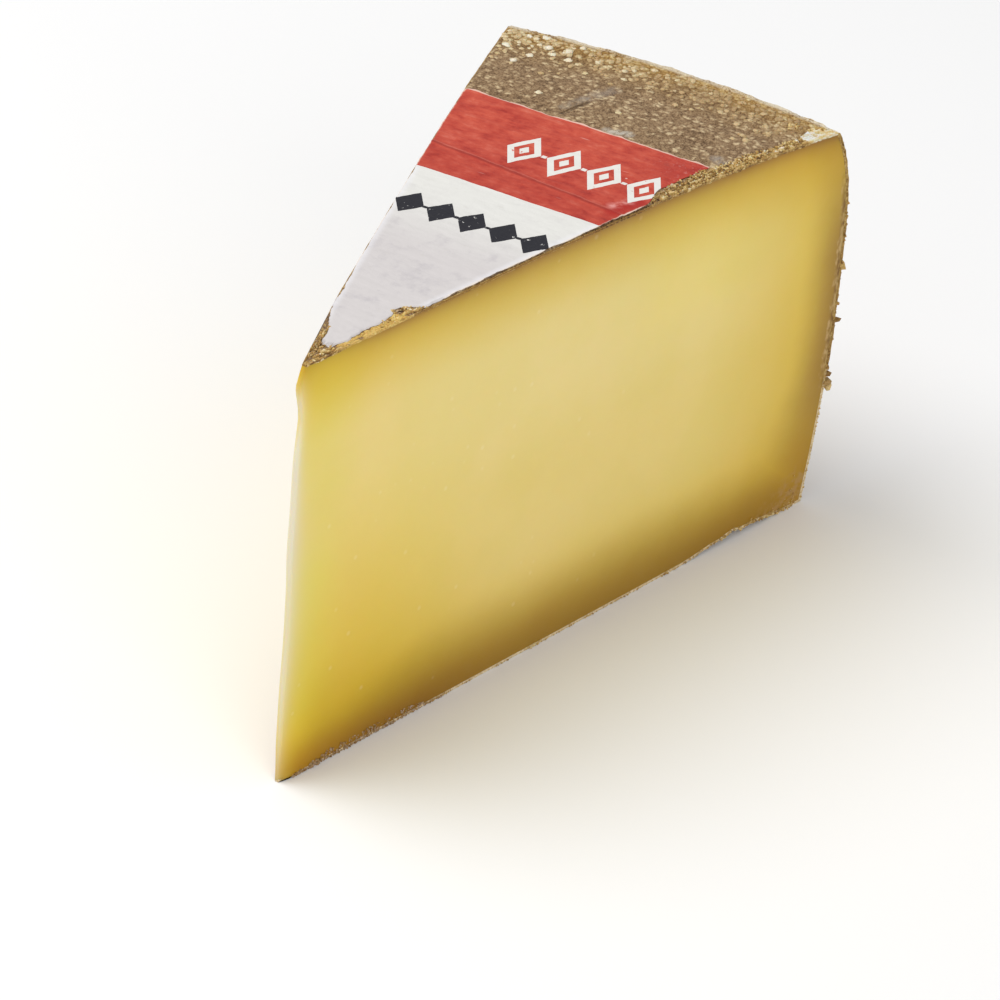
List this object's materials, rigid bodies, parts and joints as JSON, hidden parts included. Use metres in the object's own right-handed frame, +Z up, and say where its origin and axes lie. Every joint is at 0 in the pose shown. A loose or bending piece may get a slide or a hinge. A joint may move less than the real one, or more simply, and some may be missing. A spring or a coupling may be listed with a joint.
{
  "type": "wedge of aged mountain cheese",
  "caption": "Wedge of hard aged cheese cut from a big wheel, with lumpy rind on its top, side and foot and a paper label on its top.",
  "frame": {"origin": "centre of the bounding box's bottom: under the middle of the wedge, in the plane it stands on", "axes": "+X from the thin point to the rind of the wheel's side, halfway between the two cuts; +Y across, towards the far cut; +Z up, along the wheel's axis"},
  "size_m": [0.2071, 0.1015, 0.1227],
  "materials": {
    "cheese_paste": "smooth, slightly waxy cut cheese, pale yellow, going amber and brown close to the rind",
    "cheese_rind": "dry, pebbled, brown rind with cream spots",
    "label_paper": "matte printed paper, slightly wrinkled, white with one red band"
  },
  "bodies": {
    "root": {"cheese_wedge": "cheese_paste", "label": "label_paper"}
  },
  "joints": []
}
